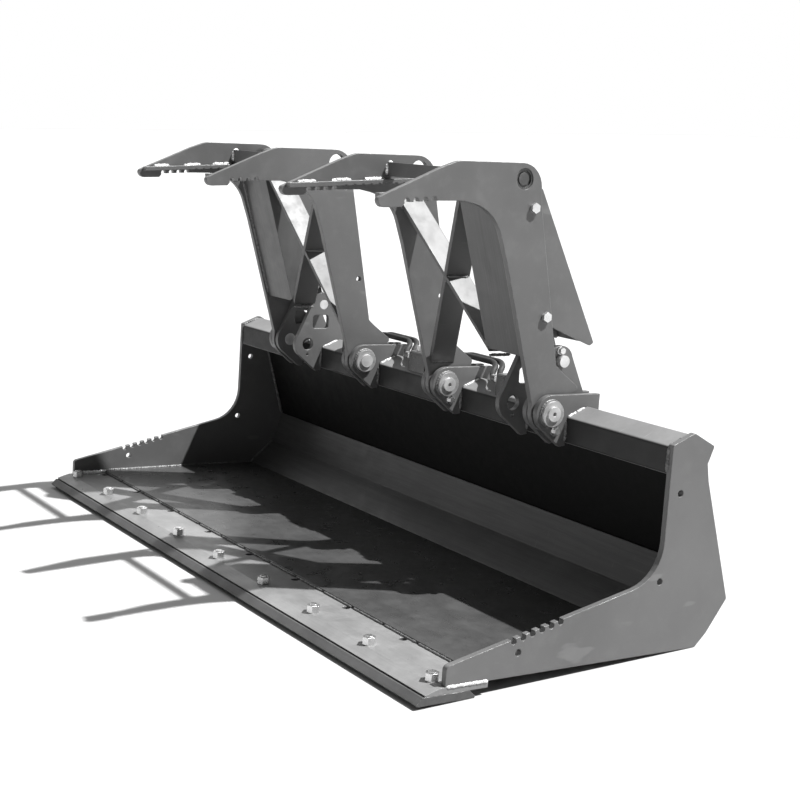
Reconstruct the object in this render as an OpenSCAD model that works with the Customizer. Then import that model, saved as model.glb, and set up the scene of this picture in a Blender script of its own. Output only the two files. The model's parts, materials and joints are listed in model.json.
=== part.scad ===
// Skid steer grapple bucket: a low-profile bucket with two hydraulic grapple arms.
// +X is one end of the bucket, -Y is the open front, +Z is up.
// Y = 0 is the nose of the side plates and Z = 0 is the top of the base edge.

/* [Bucket] */
// Overall width of the bucket across the side plates
bucket_w = 1829; // [1780:1:1880]
// Thickness of each side plate
side_t = 12.7; // [9:0.1:14]
// Thickness of the floor, heel and back sheets
sheet_t = 6.35; // [5:0.05:7]
// Height of the top beam's front face above the base edge
beam_front_z = 412; // [408:1:416]

/* [Cutting edges] */
// Thickness of the welded base edge
base_edge_t = 12.7; // [10:0.1:14]
// Thickness of the bolt-on edge
bolt_on_t = 15.9; // [12:0.1:19]
// Spacing of the edge bolts
edge_pitch = 218; // [210:0.5:220]
// Shank diameter of the edge bolts
edge_bolt_d = 15.9; // [12:0.1:18]

/* [Arms] */
// Thickness of the tine plates
tine_t = 12.7; // [9:0.1:13]
// Inner face of each arm's inner tine, from the middle of the bucket
inner_tine_x = 174; // [170:1:178]
// Inner face of each arm's outer tine, from the middle of the bucket
outer_tine_x = 558; // [556:1:560]
// Diameter of the arm pivot pins
pivot_d = 31.75; // [28:0.05:34]

/* [Cylinders] */
// Outside diameter of the cylinder barrels
barrel_d = 57; // [54:1:58]
// Diameter of the piston rods
rod_d = 31.75; // [25:0.05:34]
// Diameter of the pins through the cylinder eyes
eye_pin_d = 25.4; // [22:0.1:28]

/* [Hidden] */
$fn = 64;

// Paint and steel colours
paint = [0.28, 0.28, 0.29];
dark_paint = [0.16, 0.16, 0.17];
raw_edge = [0.22, 0.22, 0.23];
zinc = [0.78, 0.78, 0.80];
chrome = [0.85, 0.86, 0.88];
black_rubber = [0.07, 0.07, 0.07];

inner_w = bucket_w - 2 * side_t;
bolts = 9;
// Lines of the edge bolts and of the spare holes behind them
bolt_y = 0;
spare_y = 78;
// The base edge runs from its tip to base_back_y, and the floor laps on it from seam_y
base_tip_y = -43;
base_back_y = 95;
seam_y = 89;
edge_front_y = -60;
edge_back_y = 68;

// Lean of the back: the mounting face leans forward by this many degrees
back_lean = 18.2;
back_foot = [681, 93];
back_top = [600, 340];
heel_a = [546, 0];
heel_b = [620, 62];

attach_t = 9.5;
lean = [-sin(back_lean), cos(back_lean)];
square_out = [-cos(back_lean), -sin(back_lean)];
// A point on the mounting face at height z, moved inset forward of it
function on_back(z, inset) = back_foot + lean * (z - back_foot[1]) / cos(back_lean) + square_out * inset;
// The point at height z itself on the plane that lies inset forward of the mounting face
function level_back(z, inset) = on_back(z + inset * sin(back_lean), inset);
// The top edge of the heel leans on the front of the back sheet
heel_c = on_back(152, attach_t + sheet_t);

// Pivots of the arms and the cylinders, as [y, z]
pivot = [455, 422];
base_pin = [498, 527];
rod_pin = [353, 901];

// The leg's front edge passes through this point and leans back going up
leg_foot = [416, 441];
leg_slope = 0.313;
function leg_front(z, inset = 0) = leg_foot[0] - (z - leg_foot[1]) * leg_slope + inset;

// Positions along X of one arm's plates, as distances from the middle of the bucket
lug_t = 12.7;
lug_gap = 5;
inner_face = inner_tine_x + tine_t;
outer_face = outer_tine_x + tine_t;
channel_x = 430;
channel_t = 6;
tall_a_x = 444;
tall_b_x = outer_tine_x - lug_gap - lug_t;
cyl_x = (tall_a_x + lug_t + tall_b_x) / 2;
eye_w = 60;

// ---- 2D helpers ----

function unit(v) = v / norm(v);
function turned(v, a) = [v[0] * cos(a) - v[1] * sin(a), v[0] * sin(a) + v[1] * cos(a)];

// One corner of an outline, rounded to radius r with arc_steps short sides
arc_steps = 8;
function corner(before, at, after, r) =
    r <= 0 ? [at] :
    let (u = unit(before - at), w = unit(after - at),
         half = acos(u * w) / 2,
         side = (u[0] * w[1] - u[1] * w[0]) > 0 ? -1 : 1,
         centre = at + unit(u + w) * r / sin(half),
         start = at + u * r / tan(half) - centre)
    [for (i = [0 : arc_steps]) centre + turned(start, side * (180 - 2 * half) * i / arc_steps)];

// An outline from rows of [x, y, corner radius]
function rounded(rows) = let (n = len(rows), p = [for (q = rows) [q[0], q[1]]])
    [for (i = [0 : n - 1])
        each corner(p[(i + n - 1) % n], p[i], p[(i + 1) % n], rows[i][2])];

// ---- 3D helpers ----

// A plate drawn in Y and Z, from x to x + t
module plate_at(x, t) {
    translate([x, 0, 0]) rotate([90, 0, 90]) linear_extrude(t) children();
}

// A shape drawn in X and Z, from y to y + d
module wall_at(y, d) {
    translate([0, y + d, 0]) rotate([90, 0, 0]) linear_extrude(d) children();
}

// A round bar along X from x0 to x1
module bar_x(x0, x1, at, d) {
    translate([x0, at[0], at[1]]) rotate([0, 90, 0]) cylinder(d = d, h = x1 - x0);
}

// One side is modelled at +X; the left side is its mirror image
module side(name) {
    if (name == "left") mirror([1, 0, 0]) children();
    else children();
}
module both_sides() {
    side("left") children();
    side("right") children();
}
module each_edge_bolt() {
    for (i = [0 : bolts - 1]) translate([(i - (bolts - 1) / 2) * edge_pitch, 0, 0]) children();
}

// ---- Bucket ----

// Outline of a side plate, with the row of bites on its sloping top edge
nose_slope = tan(13.2);
bite_pitch = 21.5;
bite_d = 13;
bites = 6;
module side_outline() {
    top_z = function(y) 38 + (y - 12) * nose_slope;
    difference() {
        polygon(rounded([
            [0, 0, 0], [0, 38, 10], [498, top_z(498), 90], [498, beam_front_z + 4, 4],
            [552, 438, 5], [607, 410, 4], [593, 375, 4], [back_top[0], back_top[1], 20],
            [back_foot[0], back_foot[1], 6], [633, 27, 10], [605, 0, 12]]));
        for (i = [0 : bites - 1])
            translate([147 + i * bite_pitch, top_z(147 + i * bite_pitch) - 2])
                circle(d = bite_d);
    }
}
side_hole_d = 14.3;
side_holes = [[159, 45], [495, 146], [528, 320]];
module side_plate(name) {
    color(paint) side(name) difference() {
        plate_at(bucket_w / 2 - side_t, side_t) side_outline();
        for (h = side_holes) bar_x(bucket_w / 2 - side_t - 1, bucket_w / 2 + 1, h, side_hole_d);
    }
}

// The floor laps onto the base edge and ends where the heel begins
module floor_plate() {
    color(paint) translate([-inner_w / 2, seam_y, 0])
        cube([inner_w, heel_a[0] - seam_y, sheet_t]);
}

// A bent strip of sheet: the band between an outline of points and the same points moved inside
module bent_sheet(low, high) {
    plate_at(-inner_w / 2, inner_w) polygon(concat(low, [for (i = [len(high) - 1 : -1 : 0]) high[i]]));
}

// The heel has two bends, so it closes the corner in two flat strips
heel_low_deg = atan2(heel_b[1] - heel_a[1], heel_b[0] - heel_a[0]);
heel_high_deg = atan2(heel_c[1] - heel_b[1], heel_c[0] - heel_b[0]);
function mitre(a, b) = let (m = (a + b) / 2) sheet_t / cos((b - a) / 2) * [-sin(m), cos(m)];
module heel_plate() {
    color(dark_paint) bent_sheet(
        [heel_a, heel_b, heel_c],
        [heel_a + [0, sheet_t], heel_b + mitre(heel_low_deg, heel_high_deg),
         heel_c + mitre(heel_high_deg, heel_high_deg)]);
}

// The back sheet leans forward from the top of the heel to the underside of the top beam
beam_low_z = 357;
weld_gap = 0.1;
module back_plate() {
    rear = attach_t + weld_gap;
    front = attach_t + sheet_t;
    color(paint) bent_sheet([on_back(132, rear), level_back(beam_low_z, rear)],
        [on_back(132, front), level_back(beam_low_z, front)]);
}

// The formed top beam: front face, sloping roof, rear slope and underside
beam_t = 6.35;
beam_ridge = [552, 434];
module beam_outline(inset) {
    polygon(rounded([
        [498 + inset, beam_low_z + inset, 6], [498 + inset, beam_front_z - inset, 8],
        [beam_ridge[0], beam_ridge[1] - inset * 1.1, 6],
        [588 - inset * 1.2, 417 - inset, 3], [576 - inset * 1.1, 378, 0], [580 - inset, beam_low_z + inset, 3]]));
}
module top_beam() {
    color(paint) difference() {
        plate_at(-inner_w / 2, inner_w) beam_outline(0);
        plate_at(-inner_w / 2 - 1, inner_w + 2) beam_outline(beam_t);
    }
}

// The welded base edge runs the whole width, and the side plates stand on it
base_bevel_y = -10;
module base_edge() {
    color(paint) difference() {
        plate_at(-bucket_w / 2, bucket_w)
            polygon([[base_tip_y + 3, -base_edge_t], [base_tip_y, -base_edge_t + 3],
                     [base_bevel_y, 0], [base_back_y, 0], [base_back_y, -base_edge_t]]);
        each_edge_bolt() {
            translate([0, bolt_y, -base_edge_t - 1])
                cylinder(d = edge_bolt_d + 1.6, h = base_edge_t + 2);
            translate([0, spare_y, -base_edge_t - 1])
                cylinder(d = edge_bolt_d + 1.6, h = base_edge_t + 2);
        }
    }
}

// The bolt-on edge is bevelled along both long edges, so that it can be turned round
bolt_head_d = 30;
module bolt_on_edge() {
    bevel = 13;
    top = -base_edge_t;
    color(raw_edge) difference() {
        plate_at(-bucket_w / 2, bucket_w)
            polygon([[edge_front_y + 2, top - bolt_on_t], [edge_front_y, top - bolt_on_t + 3],
                     [edge_front_y + bevel, top], [edge_back_y - bevel, top],
                     [edge_back_y, top - bolt_on_t + 3], [edge_back_y - 2, top - bolt_on_t]]);
        each_edge_bolt() translate([0, bolt_y, top - bolt_on_t - 1]) {
            cylinder(d = edge_bolt_d + 0.2, h = bolt_on_t + 2);
            cylinder(d = bolt_head_d + 0.6, h = 7.3);
        }
    }
}

// Plow bolts: flush head below, shank through both edges
nut_h = 15;
module edge_bolts() {
    head_z = -base_edge_t - bolt_on_t + 0.5;
    color(zinc) each_edge_bolt() translate([0, bolt_y, head_z]) {
        cylinder(d = bolt_head_d, h = 5.5);
        cylinder(d = edge_bolt_d, h = base_edge_t + bolt_on_t + nut_h + 2);
    }
}
nut_af = 24;
module edge_nuts() {
    color(zinc) each_edge_bolt() translate([0, bolt_y, 0]) difference() {
        rotate(20) cylinder(d = nut_af / cos(30), h = nut_h, $fn = 6);
        translate([0, 0, -1]) cylinder(d = edge_bolt_d + 0.2, h = nut_h + 2);
    }
}

// ---- Quick attach ----

// The mounting plate, with the lip that the loader's coupler hooks under
attach_w = 1143;
module quick_attach_plate() {
    color(paint) plate_at(-attach_w / 2, attach_w) polygon([
        on_back(96, 0), on_back(366, 0), [607, 408], [598, 412],
        on_back(372, attach_t), on_back(96, attach_t)]);
}

// The foot below it, with a slot for each of the coupler's locking wedges
wedge_slot = [32, 26];
wedge_x = 511;
foot_drop = 44;
// The foot slopes down and forward along the chamfer of the side plates
foot_deg = atan2(back_foot[1] - 27, back_foot[0] - 633);
foot_gap = 9;
module foot_frame() {
    translate([0, back_foot[0], back_foot[1]]) rotate([foot_deg, 0, 0]) children();
}
module quick_attach_foot() {
    color(paint) foot_frame() difference() {
        translate([-attach_w / 2, -76, 0]) cube([attach_w, 76 - foot_gap, attach_t]);
        for (s = [-1, 1])
            translate([s * wedge_x - wedge_slot[0] / 2, -foot_drop - wedge_slot[1] / 2, -1])
                cube([wedge_slot[0], wedge_slot[1], attach_t + 2]);
    }
}

// Ribs between the heel and the mounting plate
rib_t = 9.5;
rib_x = [-560, -280, 0, 280, 560];
module back_ribs() {
    color(paint) for (x = rib_x) plate_at(x - rib_t / 2, rib_t)
        polygon([heel_b, heel_c - [2, 22], on_back(130, attach_t), on_back(100, attach_t)]);
}

// ---- Lugs ----

lug_top_z = 459;
lug_front_r = 38;
// The part that every lug shares: its pivot eye, its seat on the beam and its hook over the front
module lug_seat() {
    difference() {
        union() {
            translate(pivot) circle(r = lug_front_r);
            polygon([[pivot[0], lug_top_z + 1], [583, lug_top_z + 1], [583, 420], [552, 434],
                     [498, beam_front_z], [498, 352], [484, 350], [pivot[0] - 28, pivot[1] - 26],
                     [pivot[0] - 20, pivot[1]]]);
        }
        beam_room();
    }
}
// The room that the beam takes out of each lug
module beam_room() {
    polygon([[498, 340], [498, beam_front_z], beam_ridge, [588, 417.5], [640, 380]]);
}
lug_x = [inner_tine_x - lug_gap - lug_t, inner_face + lug_gap, outer_face + lug_gap];
module short_lugs() {
    color(paint) both_sides() for (x = lug_x) difference() {
        plate_at(x, lug_t) lug_seat();
        bar_x(x - 1, x + lug_t + 1, pivot, pivot_d + 0.1);
    }
}

// The tall lugs rise to the cylinder's base pin
tall_top_r = 32;
module tall_outline() {
    difference() {
        union() {
            lug_seat();
            polygon([[pivot[0] - 37, pivot[1] + 8], [base_pin[0] - 31, base_pin[1] + 8],
                     [base_pin[0] + 31, base_pin[1] + 8], [566, lug_top_z], [566, 424], [pivot[0], 424]]);
            translate(base_pin) circle(r = tall_top_r);
        }
        translate([466, 463]) polygon(rounded([[0, 0, 8], [48, 0, 8], [48, 36, 8], [0, 36, 8]]));
        beam_room();
    }
}
module tall_lugs() {
    color(paint) both_sides() for (x = [tall_a_x, tall_b_x]) difference() {
        plate_at(x, lug_t) tall_outline();
        bar_x(x - 1, x + lug_t + 1, pivot, pivot_d + 0.1);
        bar_x(x - 1, x + lug_t + 1, base_pin, eye_pin_d + 0.1);
        if (x == tall_a_x) bar_x(x - 1, x + lug_t + 1, pivot + [0, -27], 8);
    }
}

// Collars on the outside faces of the lugs
boss_len = 9;
boss_d = 54;
inner_boss_x = [inner_tine_x - lug_gap - lug_t - boss_len, inner_face + lug_gap + lug_t];
outer_boss_x = [outer_face + lug_gap + lug_t];
module lug_bosses() {
    color(paint) both_sides() for (x = concat(inner_boss_x, outer_boss_x)) difference() {
        bar_x(x, x + boss_len, pivot, boss_d);
        bar_x(x - 1, x + boss_len + 1, pivot, pivot_d + 0.1);
    }
}

// Pivot pins, one through each tine and its lugs
pin_over = 4;
function pin_ends(i) = i == 0
    ? [inner_boss_x[0] - pin_over, inner_boss_x[1] + boss_len + pin_over]
    : [tall_b_x, outer_boss_x[0] + boss_len + pin_over];
module pivot_pins() {
    color(zinc) both_sides() for (i = [0, 1]) difference() {
        bar_x(pin_ends(i)[0], pin_ends(i)[1], pivot, pivot_d);
        bar_x(pin_ends(i)[1] - 12, pin_ends(i)[1] + 1, pivot, 9);
    }
}

// The small bolt with a keeper tab that holds each pivot pin
module pivot_pin_bolts() {
    color(zinc) both_sides() for (i = [0, 1]) {
        x = pin_ends(i)[1] - pin_over - boss_len;
        translate([x, pivot[0] + 12, pivot[1] - 37]) rotate([0, 90, 0]) {
            cylinder(d = 22, h = 4);
            translate([0, 0, 4]) cylinder(d = 15, h = 7, $fn = 6);
        }
    }
}

base_pin_over = 14;
module base_pins() {
    color(zinc) both_sides()
        bar_x(tall_a_x + 0.5, tall_b_x + lug_t + base_pin_over, base_pin, eye_pin_d);
}
module base_pin_bolts() {
    color(zinc) both_sides() {
        bar_x(tall_b_x + lug_t, tall_b_x + lug_t + 3, base_pin + [-4, 22], 17);
        translate([tall_b_x + lug_t + 3, base_pin[0] - 4, base_pin[1] + 22]) rotate([0, 90, 0])
            cylinder(d = 15, h = 8, $fn = 6);
    }
}

// ---- Arms ----

// One tine: hooked nose, four bites, a long leg and a toe behind the pivot
tine_bites = 4;
tine_bite_pitch = 21;
tine_eye_r = 40;
module tine_outline() {
    difference() {
        polygon(rounded([
            [13, 832, 14], [8, 850, 8], [150, 914, 20], [190, 929, 60], [393, 934, 50],
            [402, 846, 120], [472, 520, 12], [492, 504, 14], [540, 470, 8], [497, 440, 8],
            [pivot[0] + tine_eye_r, pivot[1] - tine_eye_r, tine_eye_r - 1],
            [pivot[0] - tine_eye_r, pivot[1] - tine_eye_r, tine_eye_r - 1],
            [leg_foot[0], leg_foot[1], 0], [leg_front(735), 735, 60], [286, 838, 95],
            [206, 852, 20], [150, 850, 0], [71, 844, 0], [64, 835, 4]]));
        for (i = [0 : tine_bites - 1]) translate([75 + i * tine_bite_pitch, 846.5 + i * 1.6])
            circle(d = 12.5);
    }
}
tine_pin_hole_d = 43;
guard_bolt_d = 12.7;
guard_bolt_at = [[382, 844], [434, 622]];
module tine(x) {
    difference() {
        plate_at(x, tine_t) tine_outline();
        bar_x(x - 1, x + tine_t + 1, pivot, pivot_d + 12.7);
        bar_x(x - 1, x + tine_t + 1, rod_pin, tine_pin_hole_d);
        for (h = guard_bolt_at) bar_x(x - 1, x + tine_t + 1, h, guard_bolt_d + 0.4);
    }
}
module outer_tine(name) {
    color(paint) side(name) tine(outer_tine_x);
}
module inner_tine(name) {
    color(paint) side(name) tine(inner_tine_x);
}

// Bushes pressed into the tines for the pivot pins
module tine_bushings(name) {
    color(zinc) side(name) for (x = [inner_tine_x, outer_tine_x]) difference() {
        bar_x(x - 3, x + tine_t + 3, pivot, pivot_d + 12.7);
        bar_x(x - 4, x + tine_t + 4, pivot, pivot_d + 0.15);
    }
}

// Serrated bars along the inside of both noses
bar_h = 10;
bar_out = 16;
bar_rise = 4.3;
bar_len = 325;
bar_bites = 9;
module nose_bar() {
    difference() {
        translate([20, 849]) rotate(bar_rise) square([bar_len, bar_h]);
        for (i = [0 : bar_bites - 1]) translate([158 + i * 21, 857 + i * 1.6]) circle(d = 10);
    }
}
module nose_bars(name) {
    color(paint) side(name) {
        plate_at(inner_face, bar_out) nose_bar();
        plate_at(outer_tine_x - bar_out, bar_out) nose_bar();
    }
}

// The upright plate that ties both noses together
module cross_plate(name) {
    color(paint) side(name) translate([inner_face, 268, 884])
        cube([outer_tine_x - inner_face, 12.7, 30]);
}

// The part of the leg that the braces fill
brace_deep = 62;
module brace_strip() {
    polygon([[leg_front(440, 12), 440], [leg_front(900, 12), 900],
             [leg_front(900, 12 + brace_deep), 900], [leg_front(440, 12 + brace_deep), 440]]);
}
// A flat bar seen from the front, through p and q as [x, z]
brace_t = 9.5;
module flat_bar(p, q) {
    along = unit(q - p);
    out = [-along[1], along[0]] * brace_t / 2;
    wall_at(100, 500) polygon([p - along * 60 + out, q + along * 60 + out,
                               q + along * 60 - out, p - along * 60 - out]);
}
module brace(p, q) {
    intersection() {
        plate_at(inner_face, channel_x - inner_face) brace_strip();
        flat_bar(p, q);
    }
}
module long_brace_shape() {
    brace([inner_face, 832], [channel_x, 538]);
}
module long_brace(name) {
    color(paint) side(name) long_brace_shape();
}
module half_braces(name) {
    color(paint) side(name) difference() {
        brace([inner_face, 476], [channel_x, 868]);
        flat_bar([inner_face, 832], [channel_x, 538]);
    }
}

// The bent channel in front of the cylinder, with its side wall
channel_low_z = 538;
channel_top_z = 884;
channel_deep = 72;
module channel_strip(from, deep, top) {
    polygon([[leg_front(channel_low_z, from), channel_low_z], [leg_front(top, from), top],
             [leg_front(top, from + deep), top], [leg_front(channel_low_z, from + deep), channel_low_z]]);
}
module cylinder_channel(name) {
    color(dark_paint) side(name) difference() {
        union() {
            plate_at(channel_x, outer_tine_x - channel_x) channel_strip(8, channel_t, 846);
            plate_at(channel_x, channel_t) channel_strip(8, channel_deep, 846);
            plate_at(channel_x, channel_t) polygon([[leg_front(845, 8), 845], [300, 884], [325, 925],
                [380, 925], [leg_front(845, 8 + channel_deep), 845]]);
        }
        bar_x(channel_x - 1, channel_x + channel_t + 1, rod_pin, eye_pin_d + 0.1);
        translate([channel_x - 1, leg_front(channel_low_z, 12), channel_low_z])
            rotate([0, 90, 0]) cylinder(d = 12, h = 10);
    }
}

// The bent guard behind the cylinder: two flanges and a rear face
guard_t = 5;
guard_x = channel_x + channel_t + 2;
guard_top = [409, 886];
guard_tail = [579, 565];
module guard_flange() {
    polygon(rounded([[372, 866, 4], [guard_top[0], guard_top[1], 6], [guard_tail[0], guard_tail[1], 4],
                     [569, 559, 4], [464, 598, 10], [418, 598, 6]]));
}
module guard_rear() {
    intersection() {
        guard_flange();
        translate(guard_tail) rotate(atan2(guard_top[1] - guard_tail[1], guard_top[0] - guard_tail[0]))
            translate([-20, 0]) square([420, guard_t]);
    }
}
module rear_guard(name) {
    color(paint) side(name) difference() {
        union() {
            plate_at(outer_tine_x - guard_t, guard_t) guard_flange();
            plate_at(guard_x, guard_t) guard_flange();
            plate_at(guard_x, outer_tine_x - guard_x) guard_rear();
        }
        for (h = guard_bolt_at) bar_x(outer_tine_x - guard_t - 1, outer_tine_x + 1, h, guard_bolt_d + 0.4);
        bar_x(guard_x - 1, guard_x + guard_t + 1, rod_pin, 60);
    }
}

// Hex bolts with their nuts inside
module guard_bolts(name) {
    color(zinc) side(name) for (h = guard_bolt_at) {
        bar_x(outer_tine_x - guard_t - 9, outer_face, h, guard_bolt_d);
        translate([outer_face, h[0], h[1]]) rotate([0, 90, 0]) cylinder(d = 22, h = 8, $fn = 6);
        translate([outer_tine_x - guard_t - 9, h[0], h[1]]) rotate([0, 90, 0])
            cylinder(d = 22, h = 9, $fn = 6);
    }
}

// The rod pin's ends: a stepped collar in the outer tine and a boss on the channel wall
module pin_collars(name) {
    color(zinc) side(name) {
        difference() {
            bar_x(outer_tine_x - 3, outer_face - 2, rod_pin, tine_pin_hole_d - 0.1);
            bar_x(outer_face - 6, outer_face, rod_pin, tine_pin_hole_d - 8);
        }
        bar_x(outer_face - 6, outer_face - 3, rod_pin, eye_pin_d);
        bar_x(channel_x, channel_x + channel_t + 3, rod_pin, eye_pin_d);
    }
}

// ---- Cylinders ----

// Local frame of a cylinder: Z runs from the base pin towards the rod pin
reach = norm(rod_pin - base_pin);
cyl_tilt = atan2(rod_pin[0] - base_pin[0], rod_pin[1] - base_pin[1]);
module cyl_frame() {
    translate([cyl_x, base_pin[0], base_pin[1]]) rotate([-cyl_tilt, 0, 0]) children();
}
barrel_start = 34;
barrel_end = reach - 76;
bore_d = barrel_d - 12;
gland_len = 26;
piston_len = 26;
module cross_eye(d) {
    rotate([0, 90, 0]) cylinder(d = d, h = eye_w, center = true);
}
module barrel(name) {
    color(dark_paint) side(name) cyl_frame() difference() {
        union() {
            cross_eye(50);
            translate([0, 0, 20]) cylinder(d = barrel_d, h = barrel_end - 20);
        }
        cross_eye_bore();
        translate([0, 0, barrel_start]) cylinder(d = bore_d, h = barrel_end);
    }
}
module cross_eye_bore() {
    rotate([0, 90, 0]) cylinder(d = eye_pin_d + 0.1, h = eye_w + 2, center = true);
}
module gland(name) {
    color(zinc) side(name) cyl_frame() translate([0, 0, barrel_end - gland_len + 6]) difference() {
        cylinder(d = bore_d, h = gland_len);
        translate([0, 0, -1]) cylinder(d = rod_d + 0.1, h = gland_len + 2);
    }
}
port_d = 19;
port_out = 9;
module barrel_ports(name) {
    color(zinc) side(name) cyl_frame() for (z = [barrel_start + 16, barrel_end - 40])
        translate([0, 0, z]) difference() {
            rotate([0, -90, 0]) cylinder(d = port_d, h = barrel_d / 2 + port_out);
            translate([0, 0, -port_d]) cylinder(d = barrel_d, h = 2 * port_d);
        }
}
module piston_rod(name) {
    color(chrome) side(name) cyl_frame() translate([0, 0, barrel_start + 24])
        cylinder(d = rod_d, h = reach - 22 - barrel_start - 24);
}
module piston(name) {
    color(zinc) side(name) cyl_frame() translate([0, 0, barrel_start + 4]) difference() {
        cylinder(d = bore_d - 0.1, h = piston_len);
        translate([0, 0, 20]) cylinder(d = rod_d, h = piston_len);
    }
}
module rod_eye(name) {
    color(dark_paint) side(name) cyl_frame() translate([0, 0, reach]) difference() {
        union() {
            cross_eye(46);
            translate([0, 0, -30]) cylinder(d = 40, h = 20);
        }
        cross_eye_bore();
        translate([0, 0, -31]) cylinder(d = rod_d, h = 9);
    }
}

// The pin's middle length turns in the rod eye, clear of the collars in the arm
module rod_pin_bar(name) {
    color(zinc) side(name)
        bar_x(channel_x + channel_t + 7, outer_tine_x - 7, rod_pin, eye_pin_d);
}

// ---- Hydraulics on the beam ----

// Height of the beam's sloping roof at y
function roof_z(y) = beam_front_z + (y - 498) * (beam_ridge[1] - beam_front_z) / (beam_ridge[0] - 498);
block_y = [505, 549];
block_top = 464;
module block_outline() {
    polygon([[block_y[0], roof_z(block_y[0])], [block_y[1], roof_z(block_y[1])],
             [block_y[1], block_top - 4], [block_y[1] - 4, block_top],
             [block_y[0] + 4, block_top], [block_y[0], block_top - 4]]);
}
manifold_half = 34;
end_block_x = 324;
end_block_w = 26;
module manifold() {
    color(dark_paint) plate_at(-manifold_half, 2 * manifold_half) block_outline();
}
module hose_ends() {
    color(dark_paint) both_sides() plate_at(end_block_x, end_block_w) block_outline();
}

// Two hoses run side by side to each arm; each rises in an S over the lugs and comes down again
hose_y = [518, 538];
hose_z = 449;
hose_d = 14;
fitting_len = 14;
hose_start = manifold_half + fitting_len;
hose_end = end_block_x - fitting_len;
bend_r = 49;
bend_deg = 60;
bend_rise = 2 * bend_r * (1 - cos(bend_deg));
bend_run = 2 * bend_r * sin(bend_deg);
// The S bends lie in a plane that leans back by hose_plane_deg from flat
hose_plane_deg = 32;
hose_steps = 6;
hose_sides = 20;
// Points of the centre line as [along the beam, rise, heading]: an S up, a straight and an S down
up_path = concat(
    [for (i = [0 : hose_steps]) let (a = bend_deg * i / hose_steps)
        [hose_start + bend_r * sin(a), bend_r * (1 - cos(a)), a]],
    [for (i = [1 : hose_steps]) let (a = bend_deg * (1 - i / hose_steps))
        [hose_start + bend_run - bend_r * sin(a), bend_rise - bend_r * (1 - cos(a)), a]]);
down_path = [for (i = [len(up_path) - 1 : -1 : 0])
    [hose_start + hose_end - up_path[i][0], up_path[i][1], -up_path[i][2]]];
hose_path = concat(up_path, down_path);
// A tube of hose_d swept along the centre line
module swept_hose() {
    m = hose_sides;
    n = len(hose_path);
    r = hose_d / 2;
    points = [for (q = hose_path, k = [0 : m - 1]) let (b = 360 * k / m)
        [q[0] - r * cos(b) * sin(q[2]), r * sin(b), q[1] + r * cos(b) * cos(q[2])]];
    walls = [for (i = [0 : n - 2], k = [0 : m - 1]) let (j = (k + 1) % m)
        [i * m + k, i * m + j, (i + 1) * m + j, (i + 1) * m + k]];
    ends = [[for (k = [m - 1 : -1 : 0]) k], [for (k = [0 : m - 1]) (n - 1) * m + k]];
    polyhedron(points = points, faces = concat(walls, ends));
}
// One hose; turn is 0 for the right side and 180 for the left
module hose_run(y, turn) {
    translate([0, y, hose_z]) rotate([hose_plane_deg - 90, 0, 0]) rotate([0, 0, turn]) swept_hose();
}
module feed_hoses() {
    color(black_rubber) for (y = hose_y, turn = [0, 180]) hose_run(y, turn);
}
module hose_fittings() {
    color(zinc) both_sides() {
        for (y = hose_y) {
            translate([manifold_half, y, hose_z]) rotate([0, 90, 0])
                cylinder(d = 20, h = fitting_len, $fn = 6);
            translate([hose_end, y, hose_z]) rotate([0, 90, 0])
                cylinder(d = 20, h = fitting_len, $fn = 6);
        }
        translate([16, 527, block_top]) cylinder(d = 22, h = 13, $fn = 6);
        translate([end_block_x + end_block_w, 527, hose_z]) rotate([0, 90, 0])
            cylinder(d = 20, h = 12, $fn = 6);
    }
}

floor_plate();
heel_plate();
back_plate();
top_beam();
side_plate("left");  // side_plate_left
side_plate("right");  // side_plate_right
base_edge();
bolt_on_edge();
edge_bolts();
edge_nuts();
quick_attach_plate();
quick_attach_foot();
back_ribs();
short_lugs();
tall_lugs();
lug_bosses();
pivot_pins();
pivot_pin_bolts();
base_pins();
base_pin_bolts();
manifold();
hose_ends();
hose_fittings();
feed_hoses();
outer_tine("left");  // outer_tine_left
inner_tine("left");  // inner_tine_left
nose_bars("left");  // nose_bars_left
cross_plate("left");  // cross_plate_left
long_brace("left");  // long_brace_left
half_braces("left");  // half_braces_left
cylinder_channel("left");  // cylinder_channel_left
rear_guard("left");  // rear_guard_left
guard_bolts("left");  // guard_bolts_left
tine_bushings("left");  // tine_bushings_left
pin_collars("left");  // pin_collars_left
outer_tine("right");  // outer_tine_right
inner_tine("right");  // inner_tine_right
nose_bars("right");  // nose_bars_right
cross_plate("right");  // cross_plate_right
long_brace("right");  // long_brace_right
half_braces("right");  // half_braces_right
cylinder_channel("right");  // cylinder_channel_right
rear_guard("right");  // rear_guard_right
guard_bolts("right");  // guard_bolts_right
tine_bushings("right");  // tine_bushings_right
pin_collars("right");  // pin_collars_right
barrel("left");  // barrel_left
gland("left");  // gland_left
barrel_ports("left");  // barrel_ports_left
piston_rod("left");  // piston_rod_left
piston("left");  // piston_left
rod_eye("left");  // rod_eye_left
rod_pin_bar("left");  // rod_pin_left
barrel("right");  // barrel_right
gland("right");  // gland_right
barrel_ports("right");  // barrel_ports_right
piston_rod("right");  // piston_rod_right
piston("right");  // piston_right
rod_eye("right");  // rod_eye_right
rod_pin_bar("right");  // rod_pin_right
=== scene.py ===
import json
import math
import random

import bpy
from mathutils import Matrix, Vector


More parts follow.
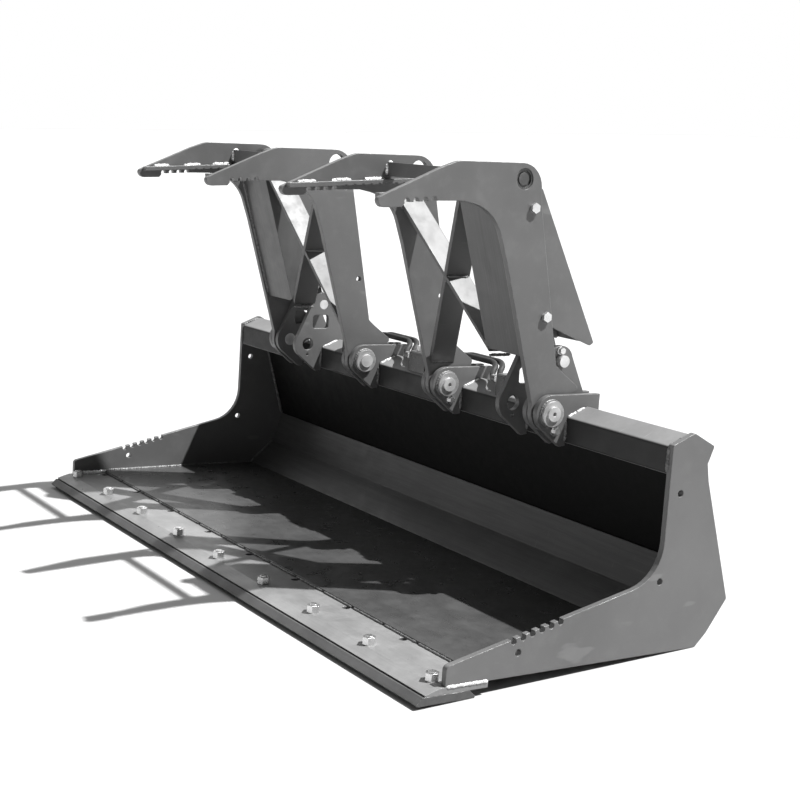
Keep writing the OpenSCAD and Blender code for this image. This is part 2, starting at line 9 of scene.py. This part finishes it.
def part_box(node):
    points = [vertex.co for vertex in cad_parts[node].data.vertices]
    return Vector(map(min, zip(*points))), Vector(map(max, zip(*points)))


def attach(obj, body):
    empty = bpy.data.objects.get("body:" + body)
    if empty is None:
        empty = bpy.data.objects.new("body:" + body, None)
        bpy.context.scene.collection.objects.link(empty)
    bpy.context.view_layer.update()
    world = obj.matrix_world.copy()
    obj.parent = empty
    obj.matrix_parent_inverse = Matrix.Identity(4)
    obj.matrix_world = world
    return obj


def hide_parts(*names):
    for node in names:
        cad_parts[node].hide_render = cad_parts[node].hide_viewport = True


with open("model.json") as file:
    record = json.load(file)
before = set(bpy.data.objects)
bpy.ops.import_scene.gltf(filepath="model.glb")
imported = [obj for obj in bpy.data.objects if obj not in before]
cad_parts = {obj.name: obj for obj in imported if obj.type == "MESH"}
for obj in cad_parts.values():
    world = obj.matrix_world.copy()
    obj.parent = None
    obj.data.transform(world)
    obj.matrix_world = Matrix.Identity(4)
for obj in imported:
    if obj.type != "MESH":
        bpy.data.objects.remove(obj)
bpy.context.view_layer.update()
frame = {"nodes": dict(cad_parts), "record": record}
nodes = frame["nodes"]
MM = 0.001
SIDES = (("left", -1), ("right", 1))


def mm(*v):
    return Vector(v) * MM


# ---------------------------------------------------------------- camera
# The photograph's viewing angle, as a position and three axes in the CAD frame
CAM_AT = mm(3051, -1544, 942)
CAM_RIGHT = Vector((0.5412, 0.8383, 0.0660))
CAM_UP = Vector((-0.1657, 0.0295, 0.9858))
LENS, SHIFT_X, SHIFT_Y = 69.2, -0.0034, -0.0104


def make_camera():
    data = bpy.data.cameras.new("camera")
    data.lens, data.sensor_width = LENS, 36.0
    data.shift_x, data.shift_y = SHIFT_X, SHIFT_Y
    data.clip_end = 150.0
    cam = bpy.data.objects.new("camera", data)
    bpy.context.scene.collection.objects.link(cam)
    right = CAM_RIGHT.normalized()
    back = right.cross(CAM_UP).normalized()
    up = back.cross(right).normalized()
    rot = Matrix((right, up, back)).transposed()
    cam.matrix_world = Matrix.Translation(CAM_AT) @ rot.to_4x4()
    bpy.context.scene.camera = cam
    return cam


# ---------------------------------------------------------------- material helpers
class Graph:
    """A short way to build a node material."""

    def __init__(self, name):
        self.mat = bpy.data.materials.new(name)
        self.mat.use_nodes = True
        self.t = self.mat.node_tree
        self.t.nodes.clear()
        self.out = self.t.nodes.new("ShaderNodeOutputMaterial")
        self.bsdf = self.t.nodes.new("ShaderNodeBsdfPrincipled")
        self.link(self.bsdf.outputs[0], self.out.inputs["Surface"])
        self.coord = self.t.nodes.new("ShaderNodeTexCoord").outputs["Object"]

    def link(self, a, b):
        self.t.links.new(a, b)

    def put(self, socket, value):
        if hasattr(value, "is_output"):
            self.link(value, socket)
        else:
            socket.default_value = value

    def stretched(self, scale, turn=(0, 0, 0)):
        n = self.t.nodes.new("ShaderNodeMapping")
        n.inputs["Scale"].default_value = scale
        n.inputs["Rotation"].default_value = turn
        self.link(self.coord, n.inputs["Vector"])
        return n.outputs[0]

    def noise(self, scale, detail=3.0, rough=0.55, vector=None):
        n = self.t.nodes.new("ShaderNodeTexNoise")
        n.inputs["Scale"].default_value = scale
        n.inputs["Detail"].default_value = detail
        n.inputs["Roughness"].default_value = rough
        self.link(vector or self.coord, n.inputs["Vector"])
        return n.outputs["Fac"]

    def span(self, value, lo, hi, to_lo=0.0, to_hi=1.0):
        n = self.t.nodes.new("ShaderNodeMapRange")
        n.interpolation_type = "SMOOTHSTEP"
        self.link(value, n.inputs["Value"])
        n.inputs["From Min"].default_value = lo
        n.inputs["From Max"].default_value = hi
        n.inputs["To Min"].default_value = to_lo
        n.inputs["To Max"].default_value = to_hi
        return n.outputs["Result"]

    def math(self, op, a, b=0.0):
        n = self.t.nodes.new("ShaderNodeMath")
        n.operation = op
        self.put(n.inputs[0], a)
        self.put(n.inputs[1], b)
        return n.outputs[0]

    def mix(self, fac, a, b):
        n = self.t.nodes.new("ShaderNodeMix")
        n.data_type = "RGBA"
        self.put(n.inputs["Factor"], fac)
        self.put(n.inputs["A"], a)
        self.put(n.inputs["B"], b)
        return n.outputs["Result"]

    def edges(self, radius, lo, hi):
        """1 along sharp edges, from how far a rounded normal turns from the flat one."""
        bev = self.t.nodes.new("ShaderNodeBevel")
        bev.samples = 6
        bev.inputs["Radius"].default_value = radius
        geo = self.t.nodes.new("ShaderNodeNewGeometry")
        dot = self.t.nodes.new("ShaderNodeVectorMath")
        dot.operation = "DOT_PRODUCT"
        self.link(bev.outputs[0], dot.inputs[0])
        self.link(geo.outputs["True Normal"], dot.inputs[1])
        return self.span(self.math("SUBTRACT", 1.0, dot.outputs["Value"]), lo, hi), bev.outputs[0]

    def facing(self, axis, lo, hi):
        """0 to 1 as the surface's normal turns along an axis."""
        geo = self.t.nodes.new("ShaderNodeNewGeometry")
        sep = self.t.nodes.new("ShaderNodeSeparateXYZ")
        self.link(geo.outputs["Normal"], sep.inputs[0])
        return self.span(sep.outputs[axis], lo, hi)

    def bump(self, height, distance, strength=1.0, normal=None):
        n = self.t.nodes.new("ShaderNodeBump")
        n.inputs["Distance"].default_value = distance
        n.inputs["Strength"].default_value = strength
        self.link(height, n.inputs["Height"])
        if normal is not None:
            self.link(normal, n.inputs["Normal"])
        return n.outputs[0]


def grey(v, tint=0.0):
    return (v * (1 - tint), v, v * (1 + tint), 1.0)


def painted(name, base, rough=0.38, dust=0.10, wear=0.5, streak=None, streak_amount=0.0, bare=0.42,
            shade=0.0, gloss=0.5):
    """Powder coat over steel: slow tone changes, fine orange peel, dust on top faces, worn edges, painted
    shade on front faces.
    """
    g = Graph(name)
    slow = g.noise(2.2, 4)
    mottled = g.noise(26, 5, 0.65)
    colour = g.mix(g.span(slow, 0.3, 0.7), grey(base * 0.86), grey(base * 1.14))
    colour = g.mix(g.span(mottled, 0.45, 0.75, 0, 0.35), colour, grey(base * 1.35))
    if streak:
        lines = g.noise(1.0, 5, 0.7, g.stretched(streak))
        colour = g.mix(g.span(lines, 0.35, 0.72, 0, streak_amount), colour, grey(base * 0.35))
        light = g.noise(1.0, 3, 0.6, g.stretched([s * 1.7 for s in streak]))
        colour = g.mix(g.span(light, 0.55, 0.8, 0, streak_amount * 0.8), colour, grey(base * 1.8))
    scratch = g.noise(1.0, 2, 0.4, g.stretched((260, 9, 30), (0.2, 0.1, 0.5)))
    colour = g.mix(g.span(scratch, 0.70, 0.76, 0, 0.30), colour, grey(base * 2.0))
    lying = g.math("MULTIPLY", g.facing("Z", 0.3, 0.95), g.span(g.noise(9, 6, 0.7), 0.35, 0.75, 0.2, 1.0))
    colour = g.mix(g.math("MULTIPLY", lying, dust), colour, grey(0.55))
    # painted shade: faces turned to the front (-Y) are darkened towards a tenth of the base colour, by the
    # amount shade
    if shade:
        front = g.span(g.facing("Y", -0.92, -0.6), 0.0, 1.0, shade, 0.0)
        colour = g.mix(front, colour, grey(base * 0.1))
    edge, rounded = g.edges(0.0022, 0.02, 0.30)
    chip = g.math("MULTIPLY", edge, g.span(g.noise(70, 4, 0.7), 0.42, 0.62))
    chip = g.math("MULTIPLY", chip, wear)
    colour = g.mix(chip, colour, grey(bare))
    g.link(colour, g.bsdf.inputs["Base Color"])
    g.link(g.math("MULTIPLY", chip, 0.8), g.bsdf.inputs["Metallic"])
    g.link(g.span(mottled, 0.2, 0.8, rough - 0.07, rough + 0.14), g.bsdf.inputs["Roughness"])
    g.bsdf.inputs["Specular IOR Level"].default_value = gloss
    peel = g.bump(g.noise(420, 2), 0.00012, 0.55, rounded)
    g.link(g.bump(mottled, 0.0004, 0.35, peel), g.bsdf.inputs["Normal"])
    return g.mat


def bare_metal(name, base, rough, grain=(30, 400, 400), spread=0.12, scale_marks=0.0, bump=0.0001,
               metal=0.9):
    """Plated or turned steel with a fine directional grain and a few dull patches."""
    g = Graph(name)
    lines = g.noise(1.0, 3, 0.6, g.stretched(grain))
    patch = g.noise(34, 5, 0.6)
    colour = g.mix(g.span(patch, 0.35, 0.7), grey(base * (1 - spread)), grey(min(1, base * (1 + spread))))
    if scale_marks:
        colour = g.mix(g.span(g.noise(12, 6, 0.75), 0.45, 0.6, 0, scale_marks), colour, grey(base * 0.3))
    edge, rounded = g.edges(0.0010, 0.02, 0.35)
    colour = g.mix(g.math("MULTIPLY", edge, 0.4), colour, grey(min(1, base * 1.4)))
    g.link(colour, g.bsdf.inputs["Base Color"])
    g.bsdf.inputs["Metallic"].default_value = metal
    g.link(g.span(patch, 0.25, 0.75, rough - 0.06, rough + 0.12), g.bsdf.inputs["Roughness"])
    g.link(g.bump(lines, bump, 0.5, rounded), g.bsdf.inputs["Normal"])
    return g.mat


def rubber(name, base):
    """Wrapped hydraulic hose: fine spiral wrap marks and a dusty bloom."""
    g = Graph(name)
    wrap = g.noise(1.0, 2, 0.4, g.stretched((620, 90, 90)))
    bloom = g.noise(38, 5, 0.6)
    colour = g.mix(g.span(bloom, 0.4, 0.75, 0, 0.6), grey(base), grey(base * 2.0))
    g.link(colour, g.bsdf.inputs["Base Color"])
    g.link(g.span(bloom, 0.3, 0.7, 0.45, 0.65), g.bsdf.inputs["Roughness"])
    g.link(g.bump(wrap, 0.0004, 0.6), g.bsdf.inputs["Normal"])
    return g.mat


def weld_metal(name, base, rough):
    """A ripple of weld metal with bright crests and darker valleys."""
    g = Graph(name)
    fine = g.noise(260, 4, 0.6)
    heat = g.noise(40, 4, 0.6)
    colour = g.mix(g.span(heat, 0.35, 0.7), grey(base * 0.7), grey(min(1, base * 1.2)))
    g.link(colour, g.bsdf.inputs["Base Color"])
    g.bsdf.inputs["Metallic"].default_value = 0.3
    g.link(g.span(fine, 0.3, 0.7, rough - 0.08, rough + 0.1), g.bsdf.inputs["Roughness"])
    g.link(g.bump(fine, 0.0005, 0.7), g.bsdf.inputs["Normal"])
    return g.mat


BODY = painted("body_paint_coat", 0.105)
ALONG_EDGE, ALONG_HEEL, DOWN_CHANNEL = (6, 260, 60), (5, 120, 120), (240, 8, 3)
FLOOR_PAINT = painted("floor_paint_worn", 0.05, rough=0.30, dust=0.05, streak=ALONG_EDGE, streak_amount=0.22)
BASE_EDGE = painted("base_edge_worn", 0.17, rough=0.32, dust=0.2, streak=ALONG_EDGE, streak_amount=0.22)
HEEL = painted("heel_streaked", 0.075, rough=0.34, dust=0.04, streak=ALONG_HEEL, streak_amount=0.5)
# the back sheet: body paint with its faces turned to the front darkened to near black, a painted shade inside
# the bucket
BACK = painted("back_painted_shade_inside", 0.105, rough=0.55, dust=0.0, wear=0.1, shade=1.0, gloss=0.12)
# the top beam: lighter than the body paint, a painted light on its roof, with its faces turned to the front
# darkened, a painted shade
BEAM = painted("beam_paint", 0.19, rough=0.45, dust=0.12, shade=0.95, gloss=0.2)
# the braces and the channel are darker copies of the body paint, a painted shade on them; the channel's
# streaks are marks on its plate
BRACE = painted("brace_paint", 0.062)
CHANNEL = painted("channel_streaked", 0.07, rough=0.36, dust=0.0, streak=DOWN_CHANNEL, streak_amount=0.45)
EDGE = painted("wear_edge_scale", 0.06, rough=0.42, dust=0.12, streak=(5, 90, 90), streak_amount=0.35,
               wear=0.9)
BLACK = painted("gloss_black_paint", 0.03, rough=0.25, dust=0.12, wear=0.4)
ZINC = bare_metal("bright_zinc", 0.72, 0.26)
PIN = bare_metal("pin_steel", 0.62, 0.36, metal=0.5)
TURNED = bare_metal("turned_steel", 0.50, 0.30, (500, 60, 60))
CHROME = bare_metal("hard_chrome", 0.78, 0.08, (60, 60, 500), 0.03)
HOSE = rubber("hose_cover", 0.012)
CRIMP = bare_metal("crimp_steel", 0.22, 0.45)
COLLAR = bare_metal("collar_steel", 0.46, 0.42, scale_marks=0.5, metal=0.55)
RECESS = bare_metal("recessed_steel", 0.10, 0.5, metal=0.6)
WELD = weld_metal("weld_bright", 0.80, 0.34)
WELD_PAINTED = painted("weld_painted", 0.13, rough=0.30, dust=0.1, wear=0.2)

SLOT_MATERIAL = {
    "body_paint": BODY, "edge_steel": EDGE, "plated_steel": ZINC, "bare_steel": TURNED,
    "chrome_rod": CHROME, "cylinder_paint": BLACK, "hose_rubber": HOSE,
}
NODE_MATERIAL = {"floor_plate": FLOOR_PAINT, "heel_plate": HEEL, "back_plate": BACK, "base_edge": BASE_EDGE,
                 "top_beam": BEAM, "pivot_pins": PIN, "base_pins": PIN, "lug_bosses": COLLAR}
for side, _ in SIDES:
    NODE_MATERIAL["cylinder_channel_" + side] = CHANNEL
    NODE_MATERIAL["pin_collars_" + side] = RECESS
    for part in ("long_brace_", "half_braces_"):
        NODE_MATERIAL[part + side] = BRACE


def dress_cad_nodes():
    slot_of = {s["node"]: s["material_slot"] for s in frame["record"]["subparts"]}
    for name, obj in nodes.items():
        material = NODE_MATERIAL.get(name, SLOT_MATERIAL[slot_of[name]])
        for i in range(len(obj.material_slots)):
            obj.material_slots[i].material = material
        if not obj.material_slots:
            obj.data.materials.append(material)


# ---------------------------------------------------------------- mesh helpers
class Mesh:
    """Points and faces gathered from many small shapes, made into one piece."""

    def __init__(self):
        self.points, self.faces = [], []

    def tube(self, path, radius, sides=10):
        """A tube along path; radius is a number or a function of the ring's number."""
        n, start = len(path), len(self.points)
        up = None
        for i, p in enumerate(path):
            along = (path[min(i + 1, n - 1)] - path[max(i - 1, 0)]).normalized()
            if up is None:
                up = along.orthogonal().normalized()
            up = (up - along * up.dot(along)).normalized()
            out = along.cross(up)
            r = radius(i) if callable(radius) else radius
            for k in range(sides):
                t = 2 * math.pi * k / sides
                self.points.append(p + (up * math.cos(t) + out * math.sin(t)) * r)
        for i in range(n - 1):
            here, there = start + i * sides, start + (i + 1) * sides
            for k in range(sides):
                m = (k + 1) % sides
                self.faces.append((here + k, here + m, there + m, there + k))
        self.faces.append(tuple(start + k for k in range(sides - 1, -1, -1)))
        self.faces.append(tuple(start + (n - 1) * sides + k for k in range(sides)))

    def piece(self, name, body, material, slot, smooth=True):
        mesh = bpy.data.meshes.new(name)
        mesh.from_pydata([tuple(p) for p in self.points], [], self.faces)
        mesh.validate()
        if smooth:
            mesh.shade_smooth()
        mesh.materials.append(material)
        obj = bpy.data.objects.new(name, mesh)
        bpy.context.scene.collection.objects.link(obj)
        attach(obj, body)
        return obj


def walk(points, step):
    """Points about step apart along a polyline."""
    out = []
    for a, b in zip(points, points[1:]):
        n = max(1, round((b - a).length / step))
        out += [a.lerp(b, i / n) for i in range(n)]
    return out + [points[-1]]


def weld_bead(into, points, radius=4.0, ripple=5.0, seed=1):
    """A rippled bead along points in mm, half sunk in the joint that it fills."""
    rng = random.Random(seed)
    steps = 4
    path = walk([mm(*p) for p in points], ripple * MM / steps)
    last = len(path) - 1
    wobble = [rng.uniform(-1, 1) for _ in range(last // steps + 3)]

    def ring_radius(i):
        crest = abs(math.sin(math.pi * i / steps))
        fade = min(1.0, 0.45 + 0.55 * min(i, last - i) / steps)
        return radius * MM * fade * (0.84 + 0.16 * crest + 0.05 * wobble[i // steps])

    shaken = [p + Vector((rng.uniform(-1, 1), rng.uniform(-1, 1), rng.uniform(-1, 1))) * 0.00018 * radius
              for p in path]
    into.tube(shaken, ring_radius, 10)


def ring_points(x, y, z, r, from_deg=0, to_deg=360, step=6):
    """An arc round an axis along X, counted from +Y towards +Z."""
    n = max(2, round((to_deg - from_deg) / step))
    return [(x, y + r * math.cos(math.radians(from_deg + (to_deg - from_deg) * i / n)),
             z + r * math.sin(math.radians(from_deg + (to_deg - from_deg) * i / n))) for i in range(n + 1)]


def box_mm(node):
    lo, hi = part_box(node)
    return lo / MM, hi / MM


# ---------------------------------------------------------------- weld beads
# Places on the CAD parts that the beads follow, in mm
PIVOT = (455, 422)
PLATE = 12.7
SHORT_LUG_X = (156.3, 191.7, 575.7)
TALL_LUG_X = (444.0, 540.3)
COLLAR_X = (156.3, 204.4, 588.4)
RIB_X = (-560, -280, 0, 280, 560)
RIB_HALF = 4.75
INNER_TINE_X, OUTER_TINE_X = 186.7, 558.0
CHANNEL_X = 430
BRACE_CROSSING = (313, 679)
STITCH, STITCH_PITCH = 118, 122


def end_beads(bright, coated, s):
    """One side plate: on the base edge, along the sheets and round the end of the beam."""
    beam_lo, beam_hi = box_mm("top_beam")
    edge_back = box_mm("base_edge")[1].y
    floor_lo, floor_hi = box_mm("floor_plate")
    outer = s * (box_mm("side_plate_right")[1].x - 1)
    inner = s * floor_hi.x
    weld_bead(bright, [(outer, 2, 0), (outer, edge_back, 0)], 3.4, 5, 3)
    weld_bead(bright, [(inner, 8, 1), (inner, edge_back, 1)], 7.5, 6, 4)
    weld_bead(coated, [(inner, floor_lo.y + 8, floor_hi.z), (inner, floor_hi.y, floor_hi.z),
                       (inner, 618, 70)], 4, 6, 5)
    weld_bead(coated, [(inner, 640, 150), (inner, 583, 345)], 4, 6, 6)
    weld_bead(coated, [(inner, beam_lo.y, 362), (inner, beam_lo.y + 1, 408), (inner, beam_lo.y + 5, 414.5),
                       (inner, beam_hi.y - 40, beam_hi.z - 1.5)], 4, 6, 7)


def floor_stitches(coated):
    """The floor's front edge on the base edge, in stitches."""
    floor_lo, floor_hi = box_mm("floor_plate")
    last = floor_hi.x - 8
    x, seed = -last, 20
    while x < last:
        weld_bead(coated, [(x, floor_lo.y, 1.5), (min(x + STITCH, last), floor_lo.y, 1.5)], 3.4, 6, seed)
        x += STITCH_PITCH
        seed += 1


def lug_beads(bright, coated, s):
    """Both faces of each lug, along the roof and down the front of the beam, and the collars."""
    front = box_mm("top_beam")[0].y
    faces = [x + dx for x in SHORT_LUG_X + TALL_LUG_X for dx in (0, PLATE)]
    for i, x in enumerate(faces):
        # painted light and painted shade: the bead on each lug face turned to +X, towards the sun, is bright
        # weld metal, the bead on its other face painted weld
        into = bright if i % 2 == (0 if s < 0 else 1) else coated
        weld_bead(into, [(s * x, front + 3, 413.2), (s * x, 545, 431)], 3.6, 5.0, 40 + i)
        weld_bead(coated, [(s * x, front - 1, 404), (s * x, front - 1, 362)], 4, 5.5, 60 + i)
    for x in COLLAR_X:
        weld_bead(coated, ring_points(s * x, *PIVOT, 27.5, 10, 350), 3.2, 5, 80)


def rear_beads(coated):
    """The mounting plate on its foot and on the back sheet, and the ribs."""
    plate_lo, plate_hi = box_mm("quick_attach_plate")
    foot_hi = box_mm("quick_attach_foot")[1]
    y, z = foot_hi.y - 1, foot_hi.z + 3
    weld_bead(coated, [(plate_lo.x + 4, y, z), (plate_hi.x - 4, y, z)], 5, 7, 90)
    for s in (-1, 1):
        weld_bead(coated, [(s * plate_hi.x, 662, 118), (s * plate_hi.x, 588, 344)], 4, 6, 91)
    for x in RIB_X:
        for dx in (-RIB_HALF, RIB_HALF):
            weld_bead(coated, [(x + dx, 626, 74), (x + dx, 646, 126)], 3.4, 6, 92)


def bucket_welds():
    bright, coated = Mesh(), Mesh()
    for side, s in SIDES:
        end_beads(bright, coated, s)
    floor_stitches(coated)
    for side, s in SIDES:
        lug_beads(bright, coated, s)
    rear_beads(coated)
    bright.piece("weld_beads_bright", "bucket", WELD, "bare_steel")
    coated.piece("weld_beads_bucket", "bucket", WELD_PAINTED, "body_paint")


def nose_bar_top(y):
    """Height of a nose bar's top face at y."""
    return 859 + (y - 20) * math.tan(math.radians(4.3))


def leg(z, inset):
    """The point at height z, inset behind the leg's front edge."""
    return 416 - (z - 441) * 0.313 + inset


def nose_beads(bright, side, s):
    """The nose bars and the cross plate on the inner faces of both tines."""
    cross_lo, cross_hi = box_mm("cross_plate_" + side)
    for tine, x in ((1, s * INNER_TINE_X), (2, s * OUTER_TINE_X)):
        for ends in ((46, 90), (130, 176), (210, 262)):
            bead = [(x, y, nose_bar_top(y)) for y in ends]
            weld_bead(bright, bead, 5.5, 5.5, 100 + tine + ends[0])
        for y in (cross_lo.y, cross_hi.y):
            weld_bead(bright, [(x, y, cross_lo.z + 2), (x, y, cross_hi.z - 2)], 4.5, 5, 110 + tine)
        weld_bead(bright, [(x, cross_lo.y, cross_hi.z), (x, cross_hi.y, cross_hi.z)], 4.5, 5, 112 + tine)


def across_leg(coated, x, z, radius, seed):
    """A bead from the front to the back of a brace, at x and z."""
    weld_bead(coated, [(x, leg(z[0], 14), z[1]), (x, leg(z[0], 70), z[1])], radius, 5.5, seed)


def leg_beads(coated, s):
    """The braces at their ends and their crossing, the channel's long edge and the bushings."""
    for x, heights in ((INNER_TINE_X, (482, 827)), (CHANNEL_X, (532, 862))):
        for z in heights:
            for dz in (-9, 9):
                across_leg(coated, s * x, (z, z + dz), 3.6, 120)
    x, z = BRACE_CROSSING
    for dx, dz in ((-7, 0), (7, 0), (0, -11), (0, 11)):
        across_leg(coated, s * (x + dx), (z, z + dz), 3.2, 121)
    weld_bead(coated, [(s * OUTER_TINE_X, leg(z, 8), z) for z in (545, 840)], 4.2, 6, 122)
    for x in (INNER_TINE_X - PLATE, INNER_TINE_X, OUTER_TINE_X, OUTER_TINE_X + PLATE):
        weld_bead(coated, ring_points(s * x, *PIVOT, 22.8, 0, 354), 2.2, 4.5, 123)


def arm_welds(side, s):
    bright, coated = Mesh(), Mesh()
    nose_beads(bright, side, s)
    leg_beads(coated, s)
    bright.piece("weld_beads_nose_" + side, "arm_" + side, WELD, "bare_steel")
    coated.piece("weld_beads_arm_" + side, "arm_" + side, WELD_PAINTED, "body_paint")


# ---------------------------------------------------------------- hoses
HOSE_Y, HOSE_Z = (518, 538), 449
HOSE_START, HOSE_END = 48.0, 310.0
BEND_R, BEND, LEAN = 49.0, math.radians(60), math.radians(32)
BEND_STEPS, STRAIGHT_STEPS = 14, 12
# A crimped ferrule, as rows of distance from the hose's end and radius in mm
FERRULE = ((0, 8.0), (1, 8.6), (1.5, 8.6), (5, 8.6), (5.5, 8.0), (6.5, 8.0), (7, 8.6), (10.5, 8.6), (11, 8.0),
           (12, 8.0), (12.5, 8.6), (17, 8.6), (18, 7.6))


def hose_centre(y0, s):
    """The hose's route: an S up over the lugs, a straight, and an S down."""
    rise, run = 2 * BEND_R * (1 - math.cos(BEND)), 2 * BEND_R * math.sin(BEND)
    flat = []
    for i in range(BEND_STEPS + 1):
        a = BEND * i / BEND_STEPS
        flat.append((HOSE_START + BEND_R * math.sin(a), BEND_R * (1 - math.cos(a))))
    for i in range(1, BEND_STEPS + 1):
        a = BEND * (1 - i / BEND_STEPS)
        flat.append((HOSE_START + run - BEND_R * math.sin(a), rise - BEND_R * (1 - math.cos(a))))
    down = [(HOSE_START + HOSE_END - x, h) for x, h in reversed(flat)]
    straight = HOSE_END - HOSE_START - 2 * run
    for i in range(1, STRAIGHT_STEPS):
        flat.append((HOSE_START + run + straight * i / STRAIGHT_STEPS, rise))
    return [mm(s * x, y0 + h * math.cos(LEAN), HOSE_Z + h * math.sin(LEAN)) for x, h in flat + down]


def make_hoses():
    for side, s in SIDES:
        cover, crimps = Mesh(), Mesh()
        for y0 in HOSE_Y:
            path = hose_centre(y0, s)
            cover.tube(path, 0.0069, 24)
            for at, inward in ((path[0], s), (path[-1], -s)):
                rings = [at + Vector((inward, 0, 0)) * d * MM for d, _ in FERRULE]
                crimps.tube(rings, lambda i: FERRULE[i][1] * MM, 24)
        hose = cover.piece("hoses_" + side, "bucket", HOSE, "hose_rubber")
        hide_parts("feed_hoses")
        crimps.piece("hose_crimps_" + side, "bucket", CRIMP, "plated_steel", smooth=False)


# ---------------------------------------------------------------- floor and light
# The foot of the heel and the gap under the bucket in mm, and half the floor's width in metres
HEEL_FOOT_Y, FLOOR_GAP, FLOOR_HALF = 605, 0.3, 45.0
SUN_ENERGY, SUN_ANGLE = 8.0, math.radians(0.9)
TOWARDS_SUN = Vector((0.366, 0.377, 0.851))
BEHIND_OBJECT = Vector((-0.70, 0.70, 0.14))
NEAR_FILL, FAR_FILL, HORIZON = 0.08, 1.0, 0.9


def make_stage():
    # the floor passes under the bolt-on edge and the heel, which the bucket stands on
    edge_lo, edge_hi = box_mm("bolt_on_edge")
    edge_foot = edge_hi.y - 2
    tilt = math.atan2(-edge_lo.z, HEEL_FOOT_Y - edge_foot)
    mesh = bpy.data.meshes.new("floor")
    corners = [(x * FLOOR_HALF, y * FLOOR_HALF, 0) for x, y in ((-1, -1), (1, -1), (1, 1), (-1, 1))]
    mesh.from_pydata(corners, [], [(0, 1, 2, 3)])
    floor = bpy.data.objects.new("floor", mesh)
    bpy.context.scene.collection.objects.link(floor)
    at = mm(0, edge_foot, edge_lo.z - FLOOR_GAP)
    floor.matrix_world = Matrix.Translation(at) @ Matrix.Rotation(tilt, 4, "X")
    g = Graph("floor_pale")
    cloud = g.noise(1.3, 4)
    g.link(g.mix(g.span(cloud, 0.3, 0.7), grey(0.44), grey(0.50)), g.bsdf.inputs["Base Color"])
    g.bsdf.inputs["Roughness"].default_value = 0.8
    mesh.materials.append(g.mat)


def make_lights():
    sun = bpy.data.lights.new("key", "SUN")
    sun.energy, sun.angle = SUN_ENERGY, SUN_ANGLE
    obj = bpy.data.objects.new("key", sun)
    bpy.context.scene.collection.objects.link(obj)
    obj.rotation_euler = TOWARDS_SUN.to_track_quat("Z", "Y").to_euler()


def faded(tree, value, spans):
    """A map range node on value, with its From and To ends."""
    n = tree.nodes.new("ShaderNodeMapRange")
    for key, end in zip(("From Min", "From Max", "To Min", "To Max"), spans):
        n.inputs[key].default_value = end
    tree.links.new(value, n.inputs["Value"])
    return n


def make_world():
    """A soft studio: bright behind the object, dim on the near side, so front faces stay dark."""
    world = bpy.data.worlds.new("studio")
    world.use_nodes = True
    tree = world.node_tree
    back = tree.nodes["Background"]
    back.inputs["Color"].default_value = (1, 1, 1, 1)
    where = tree.nodes.new("ShaderNodeTexCoord").outputs["Generated"]
    dot = tree.nodes.new("ShaderNodeVectorMath")
    dot.operation = "DOT_PRODUCT"
    dot.inputs[1].default_value = BEHIND_OBJECT.normalized()
    tree.links.new(where, dot.inputs[0])
    fade = faded(tree, dot.outputs["Value"], (-0.35, 0.75, NEAR_FILL, FAR_FILL))
    fade.interpolation_type = "SMOOTHSTEP"
    # a low bright band all round, so that every view has a pale background
    apart = tree.nodes.new("ShaderNodeSeparateXYZ")
    tree.links.new(where, apart.inputs[0])
    band = faded(tree, apart.outputs["Z"], (0.02, 0.07, HORIZON, 0.0))
    brighter = tree.nodes.new("ShaderNodeMath")
    brighter.operation = "MAXIMUM"
    tree.links.new(fade.outputs["Result"], brighter.inputs[0])
    tree.links.new(band.outputs["Result"], brighter.inputs[1])
    tree.links.new(brighter.outputs[0], back.inputs["Strength"])
    bpy.context.scene.world = world
    bpy.context.scene.view_settings.view_transform = "Standard"


make_camera()
dress_cad_nodes()
bucket_welds()
for side, s in SIDES:
    arm_welds(side, s)
make_hoses()
make_stage()
make_lights()
make_world()
